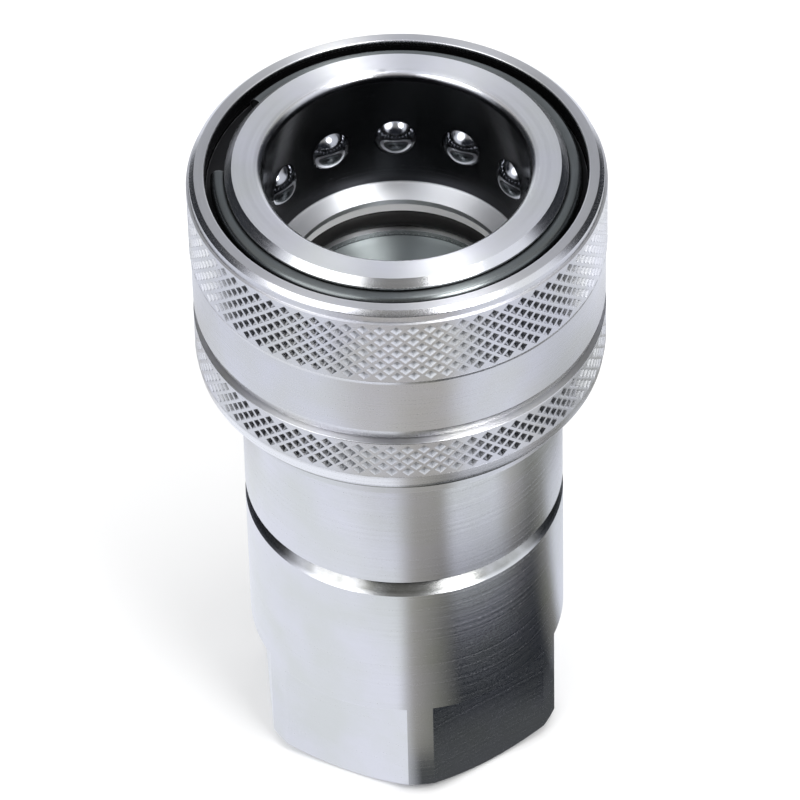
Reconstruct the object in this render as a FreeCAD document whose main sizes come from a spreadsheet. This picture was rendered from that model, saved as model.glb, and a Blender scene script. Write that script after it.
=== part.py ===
import FreeCAD, Part
import math
import os
import re

import Sketcher
from FreeCAD import Placement, Rotation, Vector

# Quick disconnect coupler, female half: a ball-lock socket with a spring-closed poppet valve.
#
# Frame: +Z runs along the axis from the pipe port towards the mouth, the origin is the centre of
# the rear end face, and one corner of the hexagon lies on -Y. All sizes are millimetres.
# Names ending in _level are heights above the rear end face.

DRIVING_SIZES = {
    # nose of the front body and the socket bored into it
    "nose_level": 67.5,
    "nose_radius": 15.5,
    "nose_chamfer": 0.64,
    "mouth_round": 0.95,
    "socket_radius": 12.0,
    "shoulder_level": 54.14,
    "shoulder_drop": 0.61,
    "probe_radius": 10.3,
    "seal_groove_radius": 12.6,
    "seal_groove_top": 52.98,
    "seal_groove_bottom": 49.66,
    # valve seat and valve chamber
    "seat_rim_level": 49.0,
    "throat_top": 48.1,
    "throat_bottom": 46.9,
    "throat_radius": 7.6,
    "chamber_radius": 10.6,
    # outside of the front body below the sleeve
    "flange_radius": 17.0,
    "flange_top": 44.8,
    "flange_bottom": 42.6,
    "body_radius": 14.9,
    "joint_level": 27.77,
    "joint_chamfer": 0.93,
    "spigot_radius": 13.0,
    "spigot_end": 19.52,
    "body_seal_top": 26.3,
    "body_seal_bottom": 25.0,
    "body_seal_floor": 11.9,
    # locking balls and their pockets
    "ball_count": 12,
    "ball_radius": 2.38,
    "ball_clearance": 0.05,
    "ball_level": 59.7,
    "ball_circle_radius": 13.28,
    "ball_clock": 26.4,
    "pocket_end_radius": 16.4,
    # locking sleeve
    "rim_level": 66.9,
    "rim_radius": 18.3,
    "rim_bevel": 0.7,
    "sleeve_radius": 19.0,
    "sleeve_counterbore": 17.33,
    "sleeve_floor_level": 64.08,
    "cone_start_level": 59.4,
    "release_ratio": 0.218,
    "land_radius": 15.68,
    "spring_chamber_top": 57.0,
    "spring_chamber_radius": 17.08,
    "front_knurl_bottom": 58.65,
    "band_radius": 18.85,
    "band_bottom": 52.3,
    "band_foot_radius": 18.55,
    "ring_groove_top": 51.2,
    "ring_groove_bottom": 50.8,
    "ring_groove_radius": 18.2,
    "rear_knurl_radius": 18.9,
    "rear_knurl_bottom": 46.5,
    "sleeve_end_radius": 18.0,
    "sleeve_end_level": 44.2,
    # snap ring and washer that stop the sleeve
    "snap_wire_radius": 0.8,
    "snap_ring_radius": 16.0,
    "snap_ring_level": 65.85,
    "snap_ring_gap": 36,
    "snap_ring_gap_turn": 156,
    "snap_groove_radius": 15.17,
    "snap_groove_play": 0.05,
    "washer_inner_radius": 15.56,
    "washer_outer_radius": 17.25,
    "washer_bottom": 64.1,
    "washer_thickness": 0.9,
    # springs, ground flat at both ends
    "sleeve_spring_radius": 16.3,
    "sleeve_spring_wire": 0.6,
    "sleeve_spring_turns": 4.5,
    "poppet_spring_radius": 5.3,
    "poppet_spring_wire": 0.55,
    "poppet_spring_turns": 7,
    "seat_gap": 0.02,
    # seals
    "probe_seal_radius": 11.38,
    "probe_seal_section": 1.2,
    "backup_thickness": 0.84,
    "backup_inner_radius": 10.33,
    "backup_outer_radius": 12.56,
    "body_seal_radius": 12.47,
    "body_seal_section": 0.55,
    "poppet_seal_radius": 8.17,
    "poppet_seal_level": 45.17,
    "poppet_seal_section": 0.8,
    "poppet_groove_section": 0.82,
    # poppet
    "poppet_tip_level": 51.0,
    "poppet_tip_radius": 2.2,
    "poppet_crown_level": 50.4,
    "poppet_crown_radius": 3.0,
    "poppet_rim_level": 47.9,
    "poppet_nose_radius": 7.5,
    "poppet_cone_top": 46.9,
    "poppet_cone_bottom": 45.1,
    "poppet_head_radius": 9.3,
    "poppet_back_level": 43.6,
    "collar_radius": 3.6,
    "collar_bottom": 34.5,
    "stem_radius": 2.5,
    "stem_end_level": 18.6,
    "stem_chamfer": 0.4,
    # poppet guide, clamped between the spigot and the rear body
    "guide_radius": 12.98,
    "guide_bottom": 17.52,
    "guide_rim_top": 19.5,
    "guide_seat_radius": 6.2,
    "guide_seat_level": 21.0,
    "hub_radius": 4.2,
    "hub_top": 28.4,
    "hub_bore_radius": 2.56,
    "window_count": 3,
    "window_inner_radius": 6.4,
    "window_outer_radius": 9.6,
    "window_half_angle": 48,
    # rear body
    "rear_radius": 14.93,
    "rear_bore_radius": 13.04,
    "rear_bore_floor": 17.5,
    "flow_radius": 8.5,
    "port_radius": 10.55,
    "port_depth": 15.0,
    "port_chamfer": 0.75,
    "wrench_apothem": 13.5,
    "wrench_length": 11.4,
    "wrench_cut_width": 16,
    "flat_count": 6,
    "end_radius": 13.3,
    "end_chamfer": 0.94,
}

# how a sketch counts the points of an edge, its own axes and its origin
START, END, HEART = 1, 2, 3
HORIZONTAL_AXIS, VERTICAL_AXIS = -1, -2
ORIGIN = (-1, START)

doc = FreeCAD.newDocument("coupler")


# ---------------------------------------------------------------- helpers

def make_sheet():
    """Put every driving size in a spreadsheet cell of its own, under its name."""
    sheet = doc.addObject("Spreadsheet::Sheet", "Sizes")
    for row, (name, number) in enumerate(DRIVING_SIZES.items(), start=1):
        sheet.set(f"A{row}", name)
        sheet.set(f"B{row}", str(number))
        sheet.setAlias(f"B{row}", name)
    doc.recompute()


def bound(words):
    """Turn 'nose_radius - nose_chamfer' into an expression that reads the sheet."""
    return re.sub(r"(?<![0-9])[a-z]+_[a-z_]*[a-z]", r"Sizes.\g<0>", words)


def origin_feature(body, role):
    return next(part for part in body.Origin.OriginFeatures if part.Role == role)


def new_body(name):
    body = doc.addObject("PartDesign::Body", name)
    body.Label = name
    return body


def new_sketch(body, name, plane):
    sketch = body.newObject("Sketcher::SketchObject", name)
    sketch.AttachmentSupport = (origin_feature(body, plane), [""])
    sketch.MapMode = "FlatFace"
    return sketch


def bind_constraint(sketch, constraint, name, words):
    """Add a dimension to the sketch and bind it to the sheet."""
    index = sketch.addConstraint(constraint)
    sketch.renameConstraint(index, name)
    sketch.setExpression(f"Constraints.{name}", bound(words))


def bind_point(sketch, edge, end, name, across, up, guess):
    """Place one point of an edge: its distances from the sketch's origin come from the sheet."""
    if across == "0":
        sketch.addConstraint(Sketcher.Constraint("PointOnObject", edge, end, VERTICAL_AXIS))
    else:
        width = Sketcher.Constraint("DistanceX", *ORIGIN, edge, end, guess.x)
        bind_constraint(sketch, width, f"{name}_across", across)
    if up == "0":
        sketch.addConstraint(Sketcher.Constraint("PointOnObject", edge, end, HORIZONTAL_AXIS))
    else:
        height = Sketcher.Constraint("DistanceY", *ORIGIN, edge, end, guess.y)
        bind_constraint(sketch, height, f"{name}_up", up)


def draw_polygon(sketch, corners):
    """Straight edges from corner to corner and back to the first; edge N starts at corner N."""
    count = len(corners)
    for index in range(count):
        sketch.addGeometry(Part.LineSegment(corners[index], corners[(index + 1) % count]), False)
    for index in range(count):
        before = (index - 1) % count
        sketch.addConstraint(Sketcher.Constraint("Coincident", before, END, index, START))


def outline_sketch(body, name, plane, corners):
    """Closed outline of straight edges; each corner is a pair of sheet expressions.

    The edges are drawn round an oval first, and their bound corners then pull them into place."""
    sketch = new_sketch(body, name, plane)
    middle, wide, high = Vector(12, 30, 0), Vector(6, 0, 0), Vector(0, 20, 0)
    angles = [math.tau * index / len(corners) for index in range(len(corners))]
    oval = [middle + wide * math.cos(angle) + high * math.sin(angle) for angle in angles]
    draw_polygon(sketch, oval)
    for index, (across, up) in enumerate(corners):
        bind_point(sketch, index, START, f"corner_{index}", across, up, oval[index])
    return sketch


def turned(body, name, corners):
    """Turn a closed outline of (radius, level) corners about the body's Z axis."""
    sketch = outline_sketch(body, f"{name}_outline", "XZ_Plane", corners)
    feature = body.newObject("PartDesign::Revolution", f"{name}_turned")
    feature.Profile = sketch
    feature.ReferenceAxis = (sketch, ["V_Axis"])
    feature.Angle = 360
    sketch.Visibility = False
    return feature


def polar_pattern(body, name, feature, count):
    """Repeat a feature about the body's Z axis and make the pattern the body's result."""
    pattern = body.newObject("PartDesign::PolarPattern", name)
    pattern.Originals = [feature]
    pattern.Axis = (origin_feature(body, "Z_Axis"), [""])
    pattern.Angle = 360
    pattern.setExpression("Occurrences", bound(count))
    body.Tip = pattern


def rounded_edge(body, name, radius, level, rounding):
    """Round the body's circular edge of a given radius and level."""
    at_radius, at_level = DRIVING_SIZES[radius], DRIVING_SIZES[level]
    edges = [f"Edge{number}" for number, edge in enumerate(body.Shape.Edges, start=1)
             if isinstance(edge.Curve, Part.Circle)
             and abs(edge.Curve.Radius - at_radius) < 0.001
             and abs(edge.Curve.Center.z - at_level) < 0.001]
    fillet = body.newObject("PartDesign::Fillet", f"{name}_rounding")
    fillet.Base = (fillet.BaseFeature, edges)
    fillet.setExpression("Radius", bound(rounding))


def must_cut(body, volume_before, what):
    """Stop if a cut took nothing away."""
    doc.recompute()
    if body.Shape.Volume > volume_before - 0.01:
        raise RuntimeError(f"{what} cut nothing from {body.Label}")


def bound_object(kind, name, **sizes):
    """A Part primitive whose properties are bound to the sheet."""
    piece = doc.addObject(kind, name)
    piece.Label = name
    for prop, words in sizes.items():
        piece.setExpression(prop.replace("__", "."), bound(words))
    return piece


def flat_ring(name, inner, outer, level, thickness):
    """A washer: one cylinder cut by another."""
    disc = bound_object("Part::Cylinder", f"{name}_disc", Radius=outer, Height=thickness,
                        Placement__Base__z=level)
    hole = bound_object("Part::Cylinder", f"{name}_hole", Radius=inner, Height=thickness,
                        Placement__Base__z=level)
    ring = doc.addObject("Part::Cut", name)
    ring.Label = name
    ring.Base = disc
    ring.Tool = hole
    return ring


def coil_spring(name, radius, wire, turns, bottom, top):
    """Round wire swept along a helix, then ground flat at both ends.

    The wire's circle starts at seam_turn, which keeps its seam off the plane of the grinding."""
    helix = bound_object("Part::Helix", f"{name}_helix", Radius=radius, Height=f"{top} - ({bottom})",
                         Pitch=f"({top} - ({bottom})) / {turns}", Placement__Base__z=bottom)
    section = bound_object("Part::Circle", f"{name}_section", Radius=wire)
    upright, seam_turn = Rotation(Vector(1, 0, 0), 90), Rotation(Vector(0, 0, 1), 50)
    section.Placement = Placement(Vector(), upright * seam_turn)
    section.setExpression("Placement.Base.x", bound(radius))
    section.setExpression("Placement.Base.z", bound(bottom))
    coil = doc.addObject("Part::Sweep", f"{name}_coil")
    coil.Sections = [section]
    coil.Spine = (helix, ["Edge1"])
    coil.Solid = True
    coil.Frenet = True
    slab = bound_object("Part::Cylinder", f"{name}_slab", Radius=f"{radius} + 2 * {wire}",
                        Height=f"{top} - ({bottom})", Placement__Base__z=bottom)
    spring = doc.addObject("Part::Common", name)
    spring.Label = name
    spring.Base = coil
    spring.Tool = slab
    return spring


# ---------------------------------------------------------------- fixed pieces

def front_body():
    """Nose, socket, seal groove, valve seat and chamber, all turned from one bar, with ball pockets."""
    body = new_body("front_body")
    turned(body, "front_body", [
        ("socket_radius", "nose_level"),
        ("nose_radius - nose_chamfer", "nose_level"),
        ("nose_radius", "nose_level - nose_chamfer"),
        ("nose_radius", "snap_ring_level + snap_wire_radius + snap_groove_play"),
        ("snap_groove_radius", "snap_ring_level + snap_wire_radius + snap_groove_play"),
        ("snap_groove_radius", "snap_ring_level - snap_wire_radius - snap_groove_play"),
        ("nose_radius", "snap_ring_level - snap_wire_radius - snap_groove_play"),
        ("nose_radius", "flange_top"),
        ("flange_radius", "flange_top"),
        ("flange_radius", "flange_bottom"),
        ("body_radius", "flange_bottom"),
        ("body_radius", "joint_level + joint_chamfer"),
        ("body_radius - joint_chamfer", "joint_level"),
        ("spigot_radius", "joint_level"),
        ("spigot_radius", "body_seal_top"),
        ("body_seal_floor", "body_seal_top"),
        ("body_seal_floor", "body_seal_bottom"),
        ("spigot_radius", "body_seal_bottom"),
        ("spigot_radius", "spigot_end"),
        ("chamber_radius", "spigot_end"),
        ("chamber_radius", "throat_bottom - chamber_radius + throat_radius"),
        ("throat_radius", "throat_bottom"),
        ("throat_radius", "throat_top"),
        ("probe_radius", "seat_rim_level"),
        ("probe_radius", "seal_groove_bottom"),
        ("seal_groove_radius", "seal_groove_bottom"),
        ("seal_groove_radius", "seal_groove_top"),
        ("probe_radius", "seal_groove_top"),
        ("probe_radius", "shoulder_level - shoulder_drop"),
        ("socket_radius", "shoulder_level"),
    ])
    doc.recompute()
    sharp_volume = body.Shape.Volume
    rounded_edge(body, "mouth", "socket_radius", "nose_level", "mouth_round")
    must_cut(body, sharp_volume, "the rounding of the mouth")
    plain_volume = body.Shape.Volume
    pocket = ball_pocket(body)
    must_cut(body, plain_volume, "the ball pocket")
    one_pocket_volume = body.Shape.Volume
    polar_pattern(body, "ball_pockets", pocket, "ball_count")
    must_cut(body, one_pocket_volume, "the pocket pattern")
    return body


def ball_pocket(body):
    """A round-nosed radial hole: its round nose is the seat that keeps the ball from falling in."""
    sketch = new_sketch(body, "ball_pocket_outline", "XZ_Plane")
    sketch.AttachmentOffset = Placement(Vector(), Rotation(Vector(0, 1, 0), 10))
    sketch.setExpression("AttachmentOffset.Rotation.Angle", bound("ball_clock") + " * 1deg")
    centre, nose, size = Vector(13, 60, 0), Vector(11, 60, 0), 2
    top, outer_top, outer = Vector(13, 62, 0), Vector(16, 62, 0), Vector(16, 60, 0)
    arc, side, mouth, middle, axis = range(5)
    circle = Part.Circle(centre, Vector(0, 0, 1), size)
    sketch.addGeometry(Part.ArcOfCircle(circle, math.pi / 2, math.pi), False)
    sketch.addGeometry(Part.LineSegment(top, outer_top), False)
    sketch.addGeometry(Part.LineSegment(outer_top, outer), False)
    sketch.addGeometry(Part.LineSegment(outer, nose), False)
    sketch.addGeometry(Part.LineSegment(nose, outer), True)
    for constraint in (
        Sketcher.Constraint("Coincident", arc, START, side, START),
        Sketcher.Constraint("Coincident", side, END, mouth, START),
        Sketcher.Constraint("Coincident", mouth, END, middle, START),
        Sketcher.Constraint("Coincident", middle, END, arc, END),
        Sketcher.Constraint("Coincident", axis, START, arc, END),
        Sketcher.Constraint("Coincident", axis, END, mouth, END),
        Sketcher.Constraint("Horizontal", side),
        Sketcher.Constraint("Vertical", mouth),
        Sketcher.Constraint("Horizontal", middle),
        Sketcher.Constraint("Vertical", arc, START, arc, HEART),
        Sketcher.Constraint("Horizontal", arc, END, arc, HEART),
    ):
        sketch.addConstraint(constraint)
    bind_point(sketch, arc, HEART, "heart", "ball_circle_radius", "ball_level", centre)
    radius = Sketcher.Constraint("Radius", arc, size)
    bind_constraint(sketch, radius, "pocket_radius", "ball_radius + ball_clearance")
    reach = Sketcher.Constraint("DistanceX", *ORIGIN, mouth, START, outer.x)
    bind_constraint(sketch, reach, "reach", "pocket_end_radius")
    pocket = body.newObject("PartDesign::Groove", "ball_pocket")
    pocket.Profile = sketch
    pocket.ReferenceAxis = (sketch, ["Axis0"])
    pocket.Angle = 360
    sketch.Visibility = False
    return pocket


def rear_body():
    """Bored bar with a female pipe port and six wrench flats."""
    body = new_body("rear_body")
    turned(body, "rear_body", [
        ("port_radius + port_chamfer", "0"),
        ("end_radius", "0"),
        ("rear_radius", "end_chamfer"),
        ("rear_radius", "joint_level - joint_chamfer"),
        ("rear_radius - joint_chamfer", "joint_level"),
        ("rear_bore_radius", "joint_level"),
        ("rear_bore_radius", "rear_bore_floor"),
        ("flow_radius", "rear_bore_floor"),
        ("flow_radius", "port_depth"),
        ("port_radius", "port_depth"),
        ("port_radius", "port_chamfer"),
    ])
    doc.recompute()
    round_volume = body.Shape.Volume
    flat = wrench_flat(body)
    must_cut(body, round_volume, "the wrench flat")
    one_flat_volume = body.Shape.Volume
    polar_pattern(body, "wrench_flats", flat, "flat_count")
    must_cut(body, one_flat_volume, "the flat pattern")
    return body


def wrench_flat(body):
    """One flat, cut by a slab that stands square to +X."""
    sketch = new_sketch(body, "wrench_flat_outline", "XY_Plane")
    near, far, half = 14, 18, 9
    flat_edge, lower_edge, outer_edge, upper_edge = range(4)
    draw_polygon(sketch, [Vector(near, half, 0), Vector(near, -half, 0),
                          Vector(far, -half, 0), Vector(far, half, 0)])
    for constraint in (
        Sketcher.Constraint("Symmetric", flat_edge, START, flat_edge, END, HORIZONTAL_AXIS),
        Sketcher.Constraint("Horizontal", lower_edge),
        Sketcher.Constraint("Vertical", outer_edge),
        Sketcher.Constraint("Horizontal", upper_edge),
    ):
        sketch.addConstraint(constraint)
    depth = Sketcher.Constraint("DistanceX", *ORIGIN, flat_edge, START, near)
    bind_constraint(sketch, depth, "apothem", "wrench_apothem")
    outside = Sketcher.Constraint("DistanceX", *ORIGIN, outer_edge, START, far)
    bind_constraint(sketch, outside, "outside", "rear_radius + end_chamfer")
    width = Sketcher.Constraint("DistanceY", flat_edge, END, flat_edge, START, 2 * half)
    bind_constraint(sketch, width, "width", "wrench_cut_width")
    flat = body.newObject("PartDesign::Pocket", "wrench_flat")
    flat.Profile = sketch
    flat.setExpression("Length", bound("wrench_length"))
    flat.Reversed = True
    sketch.Visibility = False
    return flat


def stop_washer():
    return flat_ring("stop_washer", "washer_inner_radius", "washer_outer_radius",
                     "washer_bottom", "washer_thickness")


def retaining_ring():
    """Split ring of round wire, sprung into the groove of the nose."""
    ring = bound_object("Part::Torus", "retaining_ring", Radius1="snap_ring_radius",
                        Radius2="snap_wire_radius", Angle3="360 - snap_ring_gap",
                        Placement__Base__z="snap_ring_level")
    wire_start = DRIVING_SIZES["snap_ring_gap_turn"] + DRIVING_SIZES["snap_ring_gap"] / 2
    ring.Placement.Rotation = Rotation(Vector(0, 0, 1), wire_start)
    return ring


def o_ring(name, radius, section, level):
    return bound_object("Part::Torus", name, Radius1=radius, Radius2=section, Placement__Base__z=level)


def backup_ring():
    return flat_ring("backup_ring", "backup_inner_radius", "backup_outer_radius",
                     "seal_groove_top - seat_gap - backup_thickness", "backup_thickness")


def poppet_guide():
    """Clamped disc with three flow windows and a long hub that guides the poppet's stem."""
    body = new_body("poppet_guide")
    turned(body, "poppet_guide", [
        ("hub_bore_radius", "guide_bottom"),
        ("guide_radius", "guide_bottom"),
        ("guide_radius", "guide_rim_top"),
        ("guide_seat_radius", "guide_rim_top"),
        ("guide_seat_radius", "guide_seat_level"),
        ("hub_radius", "guide_seat_level"),
        ("hub_radius", "hub_top"),
        ("hub_bore_radius", "hub_top"),
    ])
    doc.recompute()
    full_volume = body.Shape.Volume
    window = guide_window(body)
    must_cut(body, full_volume, "the flow window")
    one_window_volume = body.Shape.Volume
    polar_pattern(body, "flow_windows", window, "window_count")
    must_cut(body, one_window_volume, "the window pattern")
    return body


def guide_window(body):
    """One curved window, centred on +X: two arcs about the axis joined by two radial edges."""
    sketch = new_sketch(body, "flow_window_outline", "XY_Plane")
    inner, outer, half = 6.0, 10.0, math.radians(45)
    inner_arc, outer_arc, upper_edge, lower_edge = range(4)
    up, middle = Vector(0, 0, 1), Vector()

    def at(radius, angle):
        return Vector(radius * math.cos(angle), radius * math.sin(angle), 0)

    sketch.addGeometry(Part.ArcOfCircle(Part.Circle(middle, up, inner), -half, half), False)
    sketch.addGeometry(Part.ArcOfCircle(Part.Circle(middle, up, outer), -half, half), False)
    sketch.addGeometry(Part.LineSegment(at(inner, half), at(outer, half)), False)
    sketch.addGeometry(Part.LineSegment(at(inner, -half), at(outer, -half)), False)
    for constraint in (
        Sketcher.Constraint("Coincident", inner_arc, HEART, *ORIGIN),
        Sketcher.Constraint("Coincident", outer_arc, HEART, *ORIGIN),
        Sketcher.Constraint("Coincident", upper_edge, START, inner_arc, END),
        Sketcher.Constraint("Coincident", upper_edge, END, outer_arc, END),
        Sketcher.Constraint("Coincident", lower_edge, START, inner_arc, START),
        Sketcher.Constraint("Coincident", lower_edge, END, outer_arc, START),
        Sketcher.Constraint("PointOnObject", *ORIGIN, upper_edge),
        Sketcher.Constraint("PointOnObject", *ORIGIN, lower_edge),
    ):
        sketch.addConstraint(constraint)
    bind_constraint(sketch, Sketcher.Constraint("Radius", inner_arc, inner), "inner", "window_inner_radius")
    bind_constraint(sketch, Sketcher.Constraint("Radius", outer_arc, outer), "outer", "window_outer_radius")
    for name, edge, side in (("upper", upper_edge, 1), ("lower", lower_edge, -1)):
        slope = Sketcher.Constraint("Angle", edge, side * half)
        bind_constraint(sketch, slope, f"{name}_angle", f"{side} * window_half_angle * 1deg")
    window = body.newObject("PartDesign::Pocket", "flow_window")
    window.Profile = sketch
    window.setExpression("Length", bound("guide_seat_level + seat_gap"))
    window.Reversed = True
    sketch.Visibility = False
    return window


# ---------------------------------------------------------------- moving pieces

def locking_sleeve():
    """Knurled sleeve: its narrow land holds the balls in, its cone and counterbore let them out."""
    body = new_body("locking_sleeve")
    turned(body, "locking_sleeve", [
        ("sleeve_counterbore", "rim_level"),
        ("rim_radius", "rim_level"),
        ("sleeve_radius", "rim_level - rim_bevel"),
        ("sleeve_radius", "front_knurl_bottom"),
        ("band_radius", "front_knurl_bottom"),
        ("band_radius", "band_bottom"),
        ("band_foot_radius", "ring_groove_top"),
        ("ring_groove_radius", "ring_groove_top"),
        ("ring_groove_radius", "ring_groove_bottom"),
        ("rear_knurl_radius", "ring_groove_bottom"),
        ("rear_knurl_radius", "rear_knurl_bottom"),
        ("sleeve_end_radius", "sleeve_end_level"),
        ("spring_chamber_radius", "sleeve_end_level"),
        ("spring_chamber_radius", "spring_chamber_top"),
        ("land_radius", "spring_chamber_top"),
        ("land_radius", "cone_start_level"),
        ("land_radius + release_ratio * (sleeve_floor_level - cone_start_level)", "sleeve_floor_level"),
        ("sleeve_counterbore", "sleeve_floor_level"),
    ])
    return body


def locking_ball(index):
    """One ball, resting on the round nose of its pocket."""
    name = f"locking_ball_{index + 1:02d}"
    ball = bound_object("Part::Sphere", name, Radius="ball_radius", Placement__Base__z="ball_level")
    angle = f"(Sizes.ball_clock + {index} * 360 / Sizes.ball_count) * 1deg"
    ball.setExpression("Placement.Base.x", f"Sizes.ball_circle_radius * cos({angle})")
    ball.setExpression("Placement.Base.y", f"Sizes.ball_circle_radius * sin({angle})")
    return ball


def poppet():
    """Conical valve head with a seal groove, a collar that limits its travel, and a guided stem."""
    body = new_body("poppet")
    turned(body, "poppet", [
        ("0", "poppet_tip_level"),
        ("poppet_tip_radius", "poppet_tip_level"),
        ("poppet_crown_radius", "poppet_crown_level"),
        ("poppet_nose_radius", "poppet_rim_level"),
        ("poppet_nose_radius", "poppet_cone_top"),
        ("poppet_head_radius", "poppet_cone_bottom"),
        ("poppet_head_radius", "poppet_back_level"),
        ("collar_radius", "poppet_back_level"),
        ("collar_radius", "collar_bottom"),
        ("stem_radius", "collar_bottom"),
        ("stem_radius", "stem_end_level + stem_chamfer"),
        ("stem_radius - stem_chamfer", "stem_end_level"),
        ("0", "stem_end_level"),
    ])
    doc.recompute()
    plain_volume = body.Shape.Volume
    sketch = new_sketch(body, "poppet_seal_groove_outline", "XZ_Plane")
    centre, size = Vector(8, 45, 0), 1
    sketch.addGeometry(Part.Circle(centre, Vector(0, 0, 1), size), False)
    circle = 0
    bind_point(sketch, circle, HEART, "heart", "poppet_seal_radius", "poppet_seal_level", centre)
    section = Sketcher.Constraint("Radius", circle, size)
    bind_constraint(sketch, section, "section", "poppet_groove_section")
    groove = body.newObject("PartDesign::Groove", "poppet_seal_groove")
    groove.Profile = sketch
    groove.ReferenceAxis = (sketch, ["V_Axis"])
    groove.Angle = 360
    sketch.Visibility = False
    must_cut(body, plain_volume, "the seal groove")
    return body


def sleeve_spring():
    return coil_spring("sleeve_spring", "sleeve_spring_radius", "sleeve_spring_wire", "sleeve_spring_turns",
                       "flange_top + seat_gap", "spring_chamber_top - seat_gap")


def poppet_spring():
    return coil_spring("poppet_spring", "poppet_spring_radius", "poppet_spring_wire", "poppet_spring_turns",
                       "guide_seat_level + seat_gap", "poppet_back_level - seat_gap")


# ---------------------------------------------------------------- build, check, write

def build_pieces():
    pieces = [
        front_body(),
        rear_body(),
        locking_sleeve(),
        stop_washer(),
        retaining_ring(),
        sleeve_spring(),
        o_ring("probe_seal", "probe_seal_radius", "probe_seal_section",
               "seal_groove_bottom + probe_seal_section + seat_gap"),
        backup_ring(),
        o_ring("body_seal", "body_seal_radius", "body_seal_section",
               "(body_seal_top + body_seal_bottom) / 2"),
        poppet(),
        o_ring("poppet_seal", "poppet_seal_radius", "poppet_seal_section", "poppet_seal_level"),
        poppet_spring(),
        poppet_guide(),
    ]
    pieces += [locking_ball(index) for index in range(DRIVING_SIZES["ball_count"])]
    return pieces


def check_document(pieces):
    """Stop on any failed object or bad shape before a file is written."""
    for item in doc.Objects:
        if "Invalid" in item.State or "Error" in item.State:
            raise RuntimeError(f"{item.Label} failed: {item.State}")
    for piece in pieces:
        if piece.Shape.isNull() or not piece.Shape.isValid():
            raise RuntimeError(f"{piece.Label} has no valid shape")
        if len(piece.Shape.Solids) != 1:
            raise RuntimeError(f"{piece.Label} is {len(piece.Shape.Solids)} solids")


make_sheet()
all_pieces = build_pieces()
doc.recompute()
check_document(all_pieces)
os.makedirs("parts", exist_ok=True)
for piece in all_pieces:
    piece.Shape.exportStep(f"parts/{piece.Label}.step")
    print(f"{piece.Label}: {piece.Shape.Volume:.1f} mm3")
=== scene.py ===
import math

import bpy
from mathutils import Matrix, Vector


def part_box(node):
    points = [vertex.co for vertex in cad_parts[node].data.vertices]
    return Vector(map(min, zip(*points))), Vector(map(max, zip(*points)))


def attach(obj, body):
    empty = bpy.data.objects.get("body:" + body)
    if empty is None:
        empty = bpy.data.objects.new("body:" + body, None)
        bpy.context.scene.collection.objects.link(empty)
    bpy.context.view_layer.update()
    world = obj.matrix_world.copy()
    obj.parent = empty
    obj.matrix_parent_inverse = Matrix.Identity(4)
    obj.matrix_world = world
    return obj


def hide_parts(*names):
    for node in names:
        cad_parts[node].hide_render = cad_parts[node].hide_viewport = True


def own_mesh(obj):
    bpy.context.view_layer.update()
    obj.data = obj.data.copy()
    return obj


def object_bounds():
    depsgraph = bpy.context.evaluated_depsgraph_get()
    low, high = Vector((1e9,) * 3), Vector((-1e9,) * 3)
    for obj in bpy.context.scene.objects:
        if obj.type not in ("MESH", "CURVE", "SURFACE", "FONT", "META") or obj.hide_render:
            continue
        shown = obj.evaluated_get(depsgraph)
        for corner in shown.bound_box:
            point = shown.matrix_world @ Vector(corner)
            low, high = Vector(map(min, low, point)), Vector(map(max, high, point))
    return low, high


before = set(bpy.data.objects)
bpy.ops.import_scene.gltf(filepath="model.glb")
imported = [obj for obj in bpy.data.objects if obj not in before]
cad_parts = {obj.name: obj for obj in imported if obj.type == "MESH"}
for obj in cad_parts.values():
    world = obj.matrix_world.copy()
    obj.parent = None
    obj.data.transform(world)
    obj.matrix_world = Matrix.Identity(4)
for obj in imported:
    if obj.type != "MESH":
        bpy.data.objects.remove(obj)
cad_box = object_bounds()

# Lengths are in millimetres and become metres when a mesh is made. A level is a height above the
# rear end face, which is the frame's origin. A turn is an angle about the axis, in degrees.
MM = 0.001
FACING = -93.6            # turn of the direction that faces the main camera

# sleeve
SLEEVE_LOW, SLEEVE_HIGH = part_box("locking_sleeve")
SLEEVE_RADIUS = SLEEVE_HIGH.x / MM
SLEEVE_TOP = SLEEVE_HIGH.z / MM
SLEEVE_END = SLEEVE_LOW.z / MM
SLEEVE_BORE = 17.33
SPRING_CHAMBER = 17.08    # radius of the chamber round the sleeve's spring
BALL_LAND = 15.68         # radius of the land that holds the balls in
REAR_RADIUS = 18.9        # outer radius at the lower knurl
SEGMENTS = 320            # straight segments in one full turn

# knurls
UPPER_KNURL = (58.6, 65.75)
LOWER_KNURL = (46.5, 50.8)
KNURL_BORDER = 0.05       # height of the smooth border along a knurl
KNURL_COLUMNS = 80        # pits in one row
KNURL_HALF_ROW = 0.705    # height between a row of pits and the next, staggered, row
KNURL_DEPTH = 0.34
PIT_MOUTH = 0.72          # size of a pit's mouth, as a share of its diamond
PIT_FLOOR = 0.16          # size of a pit's floor, as a share of its diamond
PIT_LIP = 0.02            # how far the mouth lies below the ridges

# front body: the levels that bound its painted shade, its painted highlight, its rougher land and its
# darker joint
SOCKET_RADIUS = 12.0
SOCKET_WALL = (54.25, 67.15)
SHOULDER = (53.53, 54.3)
LAND = (52.98, 54.2)
SEAL_GROOVE = (49.68, 52.96)
SEAT_TOP = 49.1
JOINT = (26.95, 28.6)     # the V between the two bodies


# ---------------------------------------------------------------- mesh helpers

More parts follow.
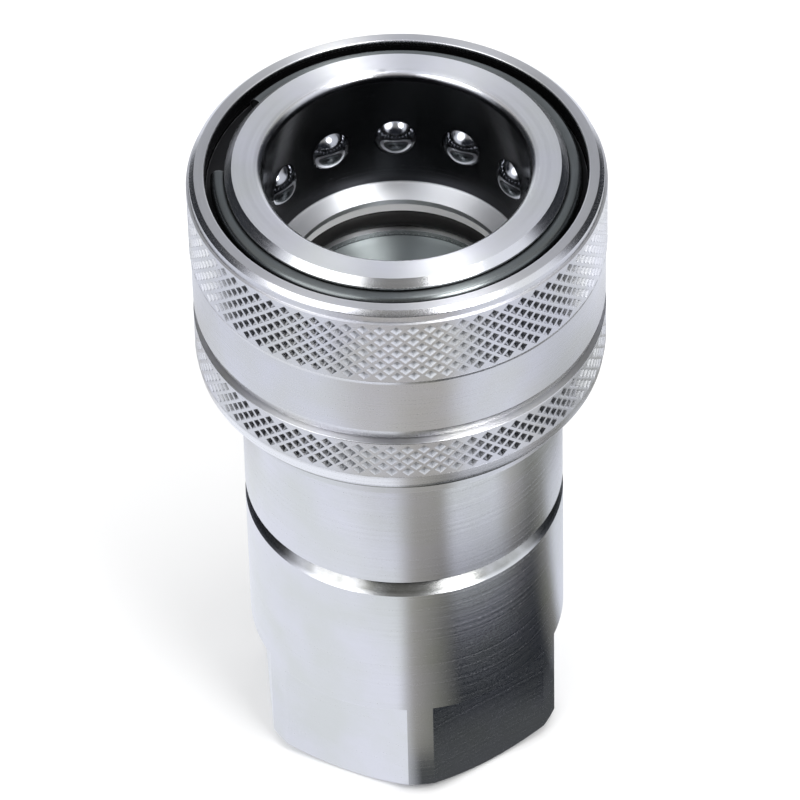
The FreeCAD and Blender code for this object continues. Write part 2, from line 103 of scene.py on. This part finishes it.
def rounded(come_from, corners, go_to, steps=4):
    """Outline through corners of (radius, level, rounding), between two points that aren't on it."""
    longest = 0.45            # most of a side that one corner's arc may take
    line = [come_from] + corners + [go_to]
    points = []
    for before, corner, after in zip(line, line[1:], line[2:]):
        here = Vector(corner[:2])
        rounding = corner[2]
        if rounding == 0:
            points.append(corner[:2])
            continue
        back = Vector(before[:2]) - here
        ahead = Vector(after[:2]) - here
        a = back.normalized()
        b = ahead.normalized()
        half = a.angle(b) / 2
        reach = min(rounding / math.tan(half), longest * back.length, longest * ahead.length)
        arc_radius = reach * math.tan(half)
        centre = here + (a + b).normalized() * (arc_radius / math.sin(half))
        first = here + a * reach - centre
        last = here + b * reach - centre
        sweep = first.angle(last)
        for step in range(steps + 1):
            share = step / steps
            mix = first * math.sin((1 - share) * sweep) + last * math.sin(share * sweep)
            points.append(tuple(centre + mix / math.sin(sweep)))
    return points


def on_axis(radius, level, turn):
    """Point at a radius, level and turn, in metres."""
    angle = math.radians(turn)
    return (radius * math.cos(angle) * MM, radius * math.sin(angle) * MM, level * MM)


def make_object(name, vertices, faces, sharp_angle=40):
    """Mesh object with smooth faces that stay crisp across edges steeper than sharp_angle."""
    mesh = bpy.data.meshes.new(name)
    mesh.from_pydata(vertices, [], faces)
    mesh.validate()
    mesh.polygons.foreach_set("use_smooth", [True] * len(mesh.polygons))
    mesh.set_sharp_from_angle(angle=math.radians(sharp_angle))
    piece = bpy.data.objects.new(name, mesh)
    bpy.context.scene.collection.objects.link(piece)
    weighted = piece.modifiers.new("even_normals", "WEIGHTED_NORMAL")
    weighted.keep_sharp = True
    weighted.weight = 80
    return piece


# ---------------------------------------------------------------- sleeve

class TurnedSkin:
    """Vertices and faces of a turned surface with a whole number of segments to the turn."""

    def __init__(self, segments, first_turn):
        self.segments = segments
        self.first_turn = first_turn
        self.vertices = []
        self.faces = []

    def turn(self, index):
        return self.first_turn + 360 * index / self.segments

    def point(self, radius, level, turn):
        self.vertices.append(on_axis(radius, level, turn))
        return len(self.vertices) - 1

    def ring(self, radius, level):
        return [self.point(radius, level, self.turn(index)) for index in range(self.segments)]

    def strip(self, first, second):
        """Quads between two rings. Going down the outside gives outward faces."""
        for index in range(self.segments):
            after = (index + 1) % self.segments
            self.faces.append((first[index], second[index], second[after], first[after]))

    def rings(self, outline):
        """Rings along an outline, with strips between them; returns its two ends as (level, ring)."""
        made = [self.ring(radius, level) for radius, level in outline]
        for first, second in zip(made, made[1:]):
            self.strip(first, second)
        return (outline[0][1], made[0]), (outline[-1][1], made[-1])


def rim_outline():
    """From the bore over the mouth's rim to the top of the upper knurl."""
    low, high = UPPER_KNURL
    return rounded((SLEEVE_BORE, low), [
        (SLEEVE_BORE, SLEEVE_TOP, 0.12),
        (18.27, SLEEVE_TOP, 0.08),
        (18.72, SLEEVE_TOP - 0.45, 0.12),
        (18.76, high + 0.03, 0.04),
        (SLEEVE_RADIUS, high - 0.01, 0),
    ], (SLEEVE_RADIUS, low)) + [(SLEEVE_RADIUS, high - KNURL_BORDER)]


def band_outline():
    """From the upper knurl down the plain band and the groove to the top of the lower knurl."""
    low, high = LOWER_KNURL
    return rounded((SLEEVE_RADIUS, UPPER_KNURL[1]), [
        (SLEEVE_RADIUS, UPPER_KNURL[0] + KNURL_BORDER, 0.12),
        (18.88, 58.3, 0.5),
        (18.86, 52.35, 0.25),
        (18.5, 51.25, 0.06),
        (18.15, 51.2, 0.05),
        (18.15, high + KNURL_BORDER, 0.05),
        (REAR_RADIUS, high, 0.10),
    ], (REAR_RADIUS, low))


def inside_outline():
    """From the lower knurl round the rear end and up the inside, to the bore."""
    low, high = LOWER_KNURL
    return rounded((REAR_RADIUS, high), [
        (REAR_RADIUS, low + KNURL_BORDER, 0.3),
        (18.72, 45.35, 0.4),
        (18.25, 44.75, 0.3),
        (17.9, SLEEVE_END, 0.2),
        (SPRING_CHAMBER, SLEEVE_END, 0.12),
        (SPRING_CHAMBER, 57.0, 0.1),
        (BALL_LAND, 57.0, 0.1),
        (BALL_LAND, 59.4, 0.3),
        (16.70, 64.08, 0.05),
        (SLEEVE_BORE, 64.08, 0.05),
    ], (SLEEVE_BORE, SLEEVE_TOP))


def knurl(skin, radius, low, high, odd_first):
    """Diamond knurl of whole pits between two (level, ring) ends; half diamonds at both stay flat."""
    low_level, low_ring = low
    high_level, high_ring = high
    half_columns = 2 * KNURL_COLUMNS
    per_half = skin.segments // half_columns
    rows = round((high_level - low_level) / KNURL_HALF_ROW)
    row_height = (high_level - low_level) / rows
    corners = {}

    def corner(column, row):
        column %= half_columns
        if row == 0:
            return low_ring[column * per_half]
        if row == rows:
            return high_ring[column * per_half]
        if (column, row) not in corners:
            turn = skin.turn(column * per_half)
            corners[column, row] = skin.point(radius, low_level + row * row_height, turn)
        return corners[column, row]

    def edge(ring, column):
        """Ring points strictly between the corners left and right of a column."""
        middle = column * per_half
        return [ring[index % skin.segments] for index in range(middle - per_half + 1, middle + per_half)]

    for row in range(rows + 1):
        for column in range(half_columns):
            if (column + row) % 2 != odd_first:
                continue
            loop = edge(low_ring, column) if row == 0 else [corner(column, row - 1)]
            loop.append(corner(column + 1, row))
            loop += edge(high_ring, column)[::-1] if row == rows else [corner(column, row + 1)]
            loop.append(corner(column - 1, row))
            if 0 < row < rows:
                pit(skin, loop, radius, skin.turn(column * per_half), low_level + row * row_height)
            else:
                skin.faces.append(tuple(loop))


def pit(skin, loop, radius, turn, level):
    """One pit inside a loop of corners: a flat ridge around it, sloping sides and a small floor."""
    size = len(loop)
    rings = [loop]
    for share, sunk in ((PIT_MOUTH, PIT_LIP), (PIT_FLOOR, KNURL_DEPTH)):
        ring = []
        for index in loop:
            x, y, z = skin.vertices[index]
            own_turn = math.degrees(math.atan2(y, x))
            gap = (own_turn - turn + 180) % 360 - 180
            own_level = level + (z / MM - level) * share
            ring.append(skin.point(radius - sunk, own_level, turn + gap * share))
        rings.append(ring)
    for outer, inner in zip(rings, rings[1:]):
        for index in range(size):
            after = (index + 1) % size
            skin.faces.append((outer[index], outer[after], inner[after], inner[index]))
    skin.faces.append(tuple(rings[-1]))


def make_sleeve():
    """The sleeve with its two knurls, in place of the plain CAD sleeve."""
    skin = TurnedSkin(SEGMENTS, FACING + 180 / (2 * KNURL_COLUMNS))
    rim_first, rim_last = skin.rings(rim_outline())
    band_first, band_last = skin.rings(band_outline())
    inside_first, inside_last = skin.rings(inside_outline())
    skin.strip(inside_last[1], rim_first[1])
    knurl(skin, SLEEVE_RADIUS, band_first, rim_last, 0)
    knurl(skin, REAR_RADIUS, inside_first, band_last, 1)
    sleeve = make_object("sleeve_knurled", skin.vertices, skin.faces)
    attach(sleeve, "sleeve")
    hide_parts("locking_sleeve")
    return sleeve


# ---------------------------------------------------------------- springs


def make_spring(name, node, wire, coil_radius, turns):
    """Round wire of radius wire, along a helix between the CAD spring's lowest and highest points.

    Its foot stands on the body."""
    low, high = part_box(node)
    bottom = low.z / MM + wire
    rise = (high.z - low.z) / MM - 2 * wire
    around, per_turn = 16, 72
    count = round(turns * per_turn)
    vertices = []
    for step in range(count + 1):
        share = step / count
        level = bottom + rise * share
        for side in range(around):
            angle = math.tau * side / around
            radius = coil_radius + wire * math.cos(angle)
            vertices.append(on_axis(radius, level + wire * math.sin(angle), 360 * turns * share))
    faces = []
    for here in range(0, count * around, around):
        there = here + around
        for side in range(around):
            after = (side + 1) % around
            faces.append((here + side, here + after, there + after, there + side))
    faces.append(tuple(range(around))[::-1])
    faces.append(tuple(count * around + side for side in range(around)))
    spring = make_object(name, vertices, faces)
    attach(spring, "body")
    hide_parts(node)
    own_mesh(spring)
    return spring


# ---------------------------------------------------------------- shader nodes

class Nodes:
    """Short way to add and join the nodes of a shader tree."""

    def __init__(self, tree):
        self.tree = tree

    def add(self, kind, **settings):
        node = self.tree.nodes.new(kind)
        for key, value in settings.items():
            setattr(node, key, value)
        return node

    def join(self, source, target):
        self.tree.links.new(source, target)

    def math(self, operation, first, second=None):
        node = self.add("ShaderNodeMath", operation=operation)
        for socket, value in zip(node.inputs, (first, second)):
            if value is None:
                continue
            if isinstance(value, (int, float)):
                socket.default_value = value
            else:
                self.join(value, socket)
        return node.outputs[0]

    def product(self, first, second):
        return self.math("MULTIPLY", first, second)

    def distance(self, x, y):
        """Length of the vector with these two parts."""
        return self.math("SQRT", self.math("ADD", self.product(x, x), self.product(y, y)))

    def remap(self, value, low, high, to_low, to_high):
        """Goes evenly from to_low to to_high between low and high, and stays level outside."""
        node = self.add("ShaderNodeMapRange")
        for socket, number in zip(node.inputs[1:5], (low, high, to_low, to_high)):
            socket.default_value = number
        self.join(value, node.inputs["Value"])
        return node.outputs["Result"]

    def above(self, value, limit, soft):
        """1 above the limit and 0 below it, with a soft edge."""
        return self.remap(value, limit - soft, limit + soft, 0, 1)

    def below(self, value, limit, soft):
        """1 below the limit and 0 above it, with a soft edge."""
        return self.remap(value, limit - soft, limit + soft, 1, 0)

    def band(self, value, low, high, soft):
        """1 between low and high and 0 outside, with soft edges."""
        return self.product(self.above(value, low, soft), self.below(value, high, soft))

    def mix(self, factor, first, second):
        """Colour that goes from first to second as the factor goes from 0 to 1."""
        node = self.add("ShaderNodeMix", data_type="RGBA")
        self.join(factor, node.inputs["Factor"])
        for name, value in (("A", first), ("B", second)):
            socket = [s for s in node.inputs if s.name == name and s.type == "RGBA"][0]
            if isinstance(value, tuple):
                socket.default_value = (*value, 1)
            else:
                self.join(value, socket)
        return [s for s in node.outputs if s.type == "RGBA"][0]


class Material(Nodes):
    """A new material, with the shaded point's place in millimetres in the frame."""

    def __init__(self, name):
        self.material = bpy.data.materials.new(name)
        self.material.use_nodes = True
        super().__init__(self.material.node_tree)
        self.shader = self.tree.nodes["Principled BSDF"]
        scaled = self.add("ShaderNodeVectorMath", operation="SCALE")
        scaled.inputs["Scale"].default_value = 1 / MM
        self.join(self.add("ShaderNodeTexCoord").outputs["Object"], scaled.inputs[0])
        self.place = scaled.outputs[0]
        parts = self.add("ShaderNodeSeparateXYZ")
        self.join(self.place, parts.inputs[0])
        self.x, self.y, self.level = parts.outputs[:3]
        self.radius = self.distance(self.x, self.y)

    def noise(self, scale, detail=2, roughness=0.5, place=None):
        node = self.add("ShaderNodeTexNoise")
        node.inputs["Scale"].default_value = scale
        node.inputs["Detail"].default_value = detail
        node.inputs["Roughness"].default_value = roughness
        self.join(place or self.place, node.inputs["Vector"])
        return node.outputs["Fac"]

    def bump(self, height, strength, distance):
        node = self.add("ShaderNodeBump")
        node.inputs["Strength"].default_value = strength
        node.inputs["Distance"].default_value = distance * MM
        self.join(height, node.inputs["Height"])
        self.join(node.outputs["Normal"], self.shader.inputs["Normal"])

    def put(self, name, value):
        """Sets an input of the shader, to a number or a colour, or joins an output to it."""
        socket = self.shader.inputs[name]
        if isinstance(value, tuple):
            socket.default_value = (*value, 1)
        elif isinstance(value, (int, float)):
            socket.default_value = value
        else:
            self.join(value, socket)


# ---------------------------------------------------------------- materials

# Tone of the painted shade along the sleeve's rear end, and of the darkening in the joint between the
# bodies.
DARKENING_TONE = (0.15, 0.15, 0.12)
# Light tone of edge wear, and of the painted highlight below the sleeve's lower knurl.
WEAR_AND_HIGHLIGHT = (0.86, 0.86, 0.88)
TURNING_PITCH = 0.35      # spacing of the lines that the lathe tool leaves
EDGE_WIDTH = 0.15         # how far in from a sharp edge the wear reaches
FACE_ROUGHNESS = 0.18     # how much rougher the faces square to the axis are than the sides


def edge_wear(metal):
    """Up to 1 along sharp edges, where handling has rubbed the plating bright, patchily."""
    soft = metal.add("ShaderNodeBevel", samples=4)
    soft.inputs["Radius"].default_value = EDGE_WIDTH * MM
    turned = metal.add("ShaderNodeVectorMath", operation="DOT_PRODUCT")
    metal.join(soft.outputs["Normal"], turned.inputs[0])
    metal.join(metal.add("ShaderNodeNewGeometry").outputs["Normal"], turned.inputs[1])
    patches = metal.remap(metal.noise(0.9, detail=3), 0.35, 0.65, 0.3, 1)
    return metal.product(metal.remap(turned.outputs["Value"], 0.86, 0.99, 1, 0), patches)


def turning_lines(metal, square_face):
    """Fine rings that a lathe tool leaves: noise that runs with level, and with radius on end faces."""
    together = metal.add("ShaderNodeCombineXYZ")
    metal.join(metal.product(metal.radius, square_face), together.inputs[0])
    metal.join(metal.level, together.inputs[1])
    return metal.noise(1 / TURNING_PITCH, detail=4, roughness=0.7, place=together.outputs[0])


def turned_metal(name, colour, tint, roughness, line_depth=0.25, brushed=0.7, handled=True):
    """Bright plated steel: turning lines, faint cloudy patches and a slight tint that comes and goes.

    Faces turned square to the axis carry coarser rings than the ground sides, so they scatter more."""
    metal = Material(name)
    tangent = metal.add("ShaderNodeTangent", direction_type="RADIAL", axis="Z")
    metal.join(tangent.outputs[0], metal.shader.inputs["Tangent"])
    metal.put("Anisotropic Rotation", 0.25)
    normal = metal.add("ShaderNodeSeparateXYZ")
    metal.join(metal.add("ShaderNodeNewGeometry").outputs["True Normal"], normal.inputs[0])
    square_face = metal.remap(metal.math("ABSOLUTE", normal.outputs[2]), 0.85, 0.97, 0, 1)
    lines = turning_lines(metal, square_face)
    clouds = metal.noise(0.16, detail=3)
    grain = metal.noise(6.0)
    metal.colour = metal.mix(metal.remap(clouds, 0.35, 0.65, 0, 1), colour, tint)
    fine = metal.math("ADD", metal.remap(lines, 0.3, 0.7, roughness - 0.05, roughness + 0.06),
                      metal.remap(grain, 0.3, 0.7, -0.02, 0.03))
    coarse = metal.product(square_face, FACE_ROUGHNESS if brushed else 0)
    metal.roughness = metal.math("ADD", fine, coarse)
    if handled:
        edge = edge_wear(metal)
        metal.colour = metal.mix(metal.product(edge, 0.5), metal.colour, WEAR_AND_HIGHLIGHT)
        metal.roughness = metal.math("ADD", metal.roughness, metal.product(edge, 0.08))
    metal.put("Metallic", 1.0)
    metal.put("Base Color", metal.colour)
    metal.put("Roughness", metal.roughness)
    metal.put("Anisotropic", metal.remap(square_face, 0, 1, brushed, min(1, brushed * 1.35)))
    metal.bump(lines, line_depth, 0.02)
    return metal


def sleeve_metal():
    """Sleeve: bright ridges, painted shade in the knurl's pits and inside, a painted highlight below the
    lower knurl and a line of painted shade along the rear end.
    """
    metal = turned_metal("plated_sleeve", (0.71, 0.71, 0.75), (0.68, 0.68, 0.67), 0.24)
    radius, level = metal.radius, metal.level
    # Painted shade: the sunk parts of both knurls are darkened, as shade lying in the pits.
    knurled = metal.math("MAXIMUM", metal.band(level, *LOWER_KNURL, 0.02),
                         metal.band(level, *UPPER_KNURL, 0.02))
    outside = metal.above(radius, 18.25, 0.05)
    sunk = metal.below(radius, 18.81, 0.09)
    pits = metal.product(metal.product(knurled, outside), sunk)
    colour = metal.mix(metal.product(pits, 0.5), metal.colour, (0.20, 0.205, 0.20))
    rim = metal.product(metal.above(level, 66.86, 0.02), metal.above(radius, 17.45, 0.05))
    colour = metal.mix(metal.product(rim, 0.6), colour, (0.42, 0.42, 0.43))
    # Painted highlight: the band below the lower knurl, down to the rear end, is made lighter.
    rubbed = metal.below(level, LOWER_KNURL[0] - 0.1, 0.2)
    colour = metal.mix(metal.product(rubbed, 0.8), colour, WEAR_AND_HIGHLIGHT)
    # Painted shade: a dark line along the sleeve's rear end.
    rear_end_shade = metal.below(level, SLEEVE_END + 0.45, 0.1)
    colour = metal.mix(metal.product(rear_end_shade, 0.85), colour, DARKENING_TONE)
    # Painted shade: the sleeve's inside, below the rim, is made near black.
    bore = metal.product(metal.below(radius, SLEEVE_BORE + 0.06, 0.03), metal.below(level, 66.7, 0.1))
    metal.put("Base Color", metal.mix(bore, colour, (0.10, 0.10, 0.105)))
    return metal.material


def front_metal():
    """Front body: plated outside; painted shade makes the socket's wall, the seal groove and the seat
    dark, a painted highlight makes the shoulder bright, and the joint is darker.
    """
    metal = turned_metal("plated_front_body", (0.70, 0.70, 0.74), (0.66, 0.67, 0.66), 0.22)
    radius, level = metal.radius, metal.level
    # Painted shade: the socket's wall with the rounding at its mouth, and the seal groove, are made near
    # black.
    wall = metal.product(metal.band(radius, SOCKET_RADIUS - 0.1, SOCKET_RADIUS + 0.95, 0.05),
                         metal.band(level, *SOCKET_WALL, 0.15))
    groove = metal.product(metal.band(level, *SEAL_GROOVE, 0.03), metal.below(radius, 13.2, 0.2))
    dark = metal.math("MAXIMUM", wall, groove)
    colour = metal.mix(dark, metal.colour, (0.035, 0.036, 0.04))
    inside = metal.below(radius, SOCKET_RADIUS, 0.05)
    # Painted highlight: the shoulder inside the socket is made near white.
    shoulder = metal.product(inside, metal.band(level, *SHOULDER, 0.02))
    colour = metal.mix(shoulder, colour, (0.92, 0.93, 0.95))
    colour = metal.mix(joint_darkening(metal), colour, DARKENING_TONE)
    # Painted shade: the seat, deep in the socket, is made darker.
    seat = metal.product(inside, metal.below(level, SEAT_TOP, 0.05))
    metal.put("Base Color", metal.mix(seat, colour, (0.20, 0.22, 0.22)))
    land = metal.product(inside, metal.band(level, *LAND, 0.03))
    metal.put("Roughness", metal.math("ADD", metal.roughness, metal.product(land, 0.12)))
    return metal.material


def joint_darkening(metal):
    """Up to 1 in the V between the two bodies, most at its bottom and more in some places than others.
    """
    patches = metal.remap(metal.noise(0.3, detail=3), 0.35, 0.65, 0.25, 0.75)
    deep = metal.remap(metal.radius, 14.6, 14.86, 1, 0.15)
    return metal.product(metal.product(metal.band(metal.level, *JOINT, 0.08), deep), patches)


def rear_metal():
    """Rear body: plated, darker in the joint."""
    metal = turned_metal("plated_rear_body", (0.70, 0.70, 0.74), (0.66, 0.67, 0.66), 0.22)
    metal.put("Base Color", metal.mix(joint_darkening(metal), metal.colour, DARKENING_TONE))
    return metal.material


def valve_metal():
    """Poppet and its guide: bare turned steel, never handled."""
    return turned_metal("turned_steel", (0.31, 0.33, 0.33), (0.26, 0.28, 0.28), 0.22,
                        handled=False).material


def spring_metal():
    """Drawn spring wire."""
    return turned_metal("spring_steel", (0.42, 0.42, 0.43), (0.36, 0.36, 0.37), 0.25).material


def oiled_wire():
    """Snap ring: dark spring steel, oiled."""
    return turned_metal("oiled_wire", (0.17, 0.185, 0.185), (0.14, 0.15, 0.15), 0.22).material


def ball_metal():
    """Hardened and polished, with no turning lines."""
    return turned_metal("ball_steel", (0.44, 0.45, 0.48), (0.40, 0.41, 0.44), 0.13,
                        line_depth=0.0, brushed=0, handled=False).material


def phosphate():
    """Stop washer: dull black."""
    return turned_metal("black_phosphate", (0.05, 0.05, 0.055), (0.07, 0.07, 0.07), 0.45).material


def rubber():
    """Black nitrile with a faint mottle and the soft sheen of grease."""
    seal = Material("seal_rubber")
    mottle = seal.noise(1.2, detail=4)
    seal.put("Base Color", seal.mix(mottle, (0.010, 0.010, 0.010), (0.022, 0.020, 0.020)))
    seal.put("Specular IOR Level", 0.25)
    seal.put("Roughness", seal.remap(mottle, 0.3, 0.7, 0.40, 0.55))
    seal.bump(seal.noise(5.0, detail=3), 0.2, 0.03)
    return seal.material


def plastic():
    """White PTFE, slightly waxy."""
    ring = Material("seal_plastic")
    mottle = ring.noise(0.8, detail=3)
    ring.put("Base Color", ring.mix(mottle, (0.93, 0.93, 0.94), (0.86, 0.86, 0.86)))
    ring.put("Roughness", ring.remap(mottle, 0.3, 0.7, 0.38, 0.5))
    ring.bump(ring.noise(4.0), 0.1, 0.02)
    return ring.material


def set_material(piece, material):
    piece.data.materials.clear()
    piece.data.materials.append(material)


def paint(sleeve, springs):
    """Gives the made pieces and every CAD node that stays in view its material."""
    groups = [
        (front_metal(), ["front_body"]),
        (rear_metal(), ["rear_body"]),
        (valve_metal(), ["poppet", "poppet_guide"]),
        (oiled_wire(), ["retaining_ring"]),
        (phosphate(), ["stop_washer"]),
        (rubber(), ["probe_seal", "body_seal", "poppet_seal"]),
        (plastic(), ["backup_ring"]),
        (ball_metal(), [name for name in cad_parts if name.startswith("locking_ball")]),
    ]
    for material, names in groups:
        for name in names:
            set_material(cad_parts[name], material)
    set_material(sleeve, sleeve_metal())
    wire = spring_metal()
    for spring in springs:
        set_material(spring, wire)


# ---------------------------------------------------------------- stage

PALE = (1.0, 1.03, 1.10)
COOL = (0.82, 0.85, 0.93)
WARM = (0.60, 0.585, 0.575)
GREY = (0.40, 0.39, 0.37)
DIM = (0.22, 0.22, 0.20)
SHADE = (0.07, 0.075, 0.08)
DARK = (0.012, 0.015, 0.022)
FLOOR_REACH = 2.0         # metres from the axis to the floor's edges
FLOOR_GAP = 0.0002        # metres between the floor and the object's foot
LAMP_DISTANCE = 0.6       # metres
LAMP_AIM = Vector((0, 0, 0.05))


def ring_tones(nodes, angle, stops):
    """Tone of the surroundings by angle: stops are (angle from the camera's side, tone)."""
    ramp = nodes.add("ShaderNodeValToRGB")
    nodes.join(nodes.remap(angle, -180, 180, 0, 1), ramp.inputs["Fac"])
    elements = ramp.color_ramp.elements
    while len(elements) > 1:
        elements.remove(elements[-1])
    for index, (turn, tone) in enumerate(stops):
        place = (turn + 180) / 360
        element = elements[0] if index == 0 else elements.new(place)
        element.position = place
        element.color = (*tone, 1)
    return ramp.outputs["Color"]


def camera_angle(nodes, x, y):
    """Angle about the axis in degrees, counted from the camera's side."""
    facing = math.radians(FACING)
    ahead = nodes.math("ADD", nodes.product(x, math.cos(facing)), nodes.product(y, math.sin(facing)))
    aside = nodes.math("SUBTRACT", nodes.product(y, math.cos(facing)),
                       nodes.product(x, math.sin(facing)))
    return nodes.math("DEGREES", nodes.math("ARCTAN2", aside, ahead))


def horizon(nodes, angle):
    """Tones low in the room: the dark gap at the camera, two bright screens, dark gaps beside them."""
    return ring_tones(nodes, angle, [
        (-180, PALE), (-152, PALE), (-142, DARK), (-88, DARK), (-76, PALE), (-42, PALE), (-30, DARK),
        (30, DARK), (42, PALE), (86, PALE), (98, DARK), (142, DARK), (152, PALE), (180, PALE)])


def surroundings(floor):
    """Painted reflection: the tones that the steel mirrors in the floor, pale paper, grey towards the
    camera, and a painted shadow, dark, at the right.
    """
    angle = camera_angle(floor, floor.x, floor.y)
    # Painted shadow: the dark tones at the right, strongest near the foot, stand for the object's shadow
    # on the floor.
    foot = ring_tones(floor, angle, [
        (-180, COOL), (-20, PALE), (-6, PALE), (4, SHADE), (85, SHADE), (110, COOL), (180, COOL)])
    near = ring_tones(floor, angle, [
        (-180, PALE), (-100, PALE), (-30, PALE), (-6, PALE), (2, GREY), (14, DIM), (28, DARK),
        (85, DARK), (100, DIM), (112, COOL), (180, PALE)])
    middle = ring_tones(floor, angle, [
        (-180, COOL), (-135, WARM), (-105, PALE), (-30, PALE), (-8, COOL), (6, GREY), (22, GREY),
        (30, PALE), (58, PALE), (70, WARM), (86, DIM), (124, DIM), (148, GREY), (168, PALE),
        (180, COOL)])
    far = ring_tones(floor, angle, [
        (-180, PALE), (-120, COOL), (-70, COOL), (-38, COOL), (-18, WARM), (20, WARM), (34, COOL),
        (90, COOL), (125, PALE), (180, PALE)])
    tone = floor.mix(floor.above(floor.radius, 20, 1), foot, near)
    tone = floor.mix(floor.above(floor.radius, 44, 2), tone, middle)
    tone = floor.mix(floor.above(floor.radius, 63, 5), tone, far)
    return floor.mix(floor.above(floor.radius, 275, 125), tone, horizon(floor, angle))


def floor_paint():
    """Pale paint to the camera; to reflected rays, a glow in painted tones of the room around the
    object.
    """
    floor = Material("floor_paint")
    floor.put("Base Color", floor.mix(floor.noise(0.02), (0.86, 0.86, 0.86), (0.90, 0.90, 0.90)))
    floor.put("Roughness", 0.7)
    # Painted reflection: for reflected rays only, the floor glows in these tones, though it is no lamp.
    room = floor.add("ShaderNodeEmission")
    floor.join(surroundings(floor), room.inputs["Color"])
    mixed = floor.add("ShaderNodeMixShader")
    floor.join(floor.add("ShaderNodeLightPath").outputs["Is Glossy Ray"], mixed.inputs[0])
    floor.join(floor.shader.outputs[0], mixed.inputs[1])
    floor.join(room.outputs[0], mixed.inputs[2])
    floor.join(mixed.outputs[0], floor.tree.nodes["Material Output"].inputs["Surface"])
    return floor.material


def make_floor():
    """Large pale floor just under the rear end face."""
    reach = FLOOR_REACH
    corners = [(-reach, -reach, 0), (reach, -reach, 0), (reach, reach, 0), (-reach, reach, 0)]
    mesh = bpy.data.meshes.new("floor")
    mesh.from_pydata(corners, [], [(0, 1, 2, 3)])
    floor = bpy.data.objects.new("floor", mesh)
    bpy.context.scene.collection.objects.link(floor)
    floor.location.z = cad_box[0].z - FLOOR_GAP
    set_material(floor, floor_paint())


def direction(turn, elevation):
    """Unit vector from the object: turn is from the camera's side, both angles in degrees."""
    around = math.radians(FACING + turn)
    up = math.radians(elevation)
    return Vector((math.cos(around) * math.cos(up), math.sin(around) * math.cos(up), math.sin(up)))


def make_light(name, turn, elevation, size, radiance):
    """Round lamp aimed at the object, with its diameter in metres and its brightness as radiance."""
    data = bpy.data.lights.new(name, "AREA")
    data.shape = "DISK"
    data.size = size
    data.energy = radiance * math.pi * math.pi * size * size / 4
    light = bpy.data.objects.new(name, data)
    bpy.context.scene.collection.objects.link(light)
    away = direction(turn, elevation)
    light.location = LAMP_AIM + away * LAMP_DISTANCE
    light.rotation_mode = "QUATERNION"
    light.rotation_quaternion = away.to_track_quat("Z", "Y")


def make_world():
    """Even white light; in reflections, the walls of a room: screens and gaps below a paler ceiling."""
    world = bpy.data.worlds.new("studio")
    bpy.context.scene.world = world
    world.use_nodes = True
    room = Nodes(world.node_tree)
    parts = room.add("ShaderNodeSeparateXYZ")
    room.join(room.add("ShaderNodeTexCoord").outputs["Generated"], parts.inputs[0])
    x, y, z = parts.outputs[:3]
    angle = camera_angle(room, x, y)
    elevation = room.math("DEGREES", room.math("ARCSINE", z))
    ceiling = ring_tones(room, angle, [
        (-180, COOL), (-110, WARM), (-75, PALE), (-30, PALE), (-12, GREY), (12, GREY), (30, PALE),
        (75, PALE), (110, WARM), (180, COOL)])
    ceiling = room.mix(room.above(elevation, 70, 8), ceiling, COOL)
    lifted = room.product(room.band(angle, -32, 32, 8), 9)
    height = room.math("SUBTRACT", elevation, lifted)
    walls = room.mix(room.above(height, 36, 5), horizon(room, angle), ceiling)
    path = room.add("ShaderNodeLightPath")
    tone = room.mix(path.outputs["Is Glossy Ray"], (0.95, 0.95, 0.95), walls)
    background = world.node_tree.nodes["Background"]
    room.join(tone, background.inputs["Color"])
    background.inputs["Strength"].default_value = 1.0


def make_camera():
    """Long lens looking down at the mouth, slightly rolled."""
    elevation = 42.80         # of the camera, seen from the mouth
    pitch = 44.725            # how far down it looks
    yaw = 0.026
    roll = -1.438
    distance = 0.618          # metres from the mouth
    data = bpy.data.cameras.new("camera")
    data.lens = 309.24
    data.sensor_width = 36
    data.clip_start = 0.05
    data.clip_end = 20
    camera = bpy.data.objects.new("camera", data)
    bpy.context.scene.collection.objects.link(camera)
    place = Vector((0, 0, SLEEVE_TOP * MM)) + direction(0, elevation) * distance
    turn = (Matrix.Rotation(math.radians(FACING + 90 + yaw), 4, "Z")
            @ Matrix.Rotation(math.radians(90 - pitch), 4, "X")
            @ Matrix.Rotation(math.radians(roll), 4, "Z"))
    camera.matrix_world = Matrix.Translation(place) @ turn
    bpy.context.scene.camera = camera


def main():
    sleeve = make_sleeve()
    springs = [
        make_spring("sleeve_spring_coil", "sleeve_spring",
                    wire=0.6, coil_radius=16.3, turns=4.0),
        make_spring("poppet_spring_coil", "poppet_spring",
                    wire=0.55, coil_radius=5.3, turns=6.6),
    ]
    paint(sleeve, springs)
    make_floor()
    make_world()
    make_light("front_left", -52, 48, size=0.40, radiance=2.2)
    make_light("front_right", 40, 50, size=0.22, radiance=12)
    make_light("top_right", 90, 78, size=0.20, radiance=6)
    bpy.context.scene.view_settings.view_transform = "Standard"
    make_camera()


main()
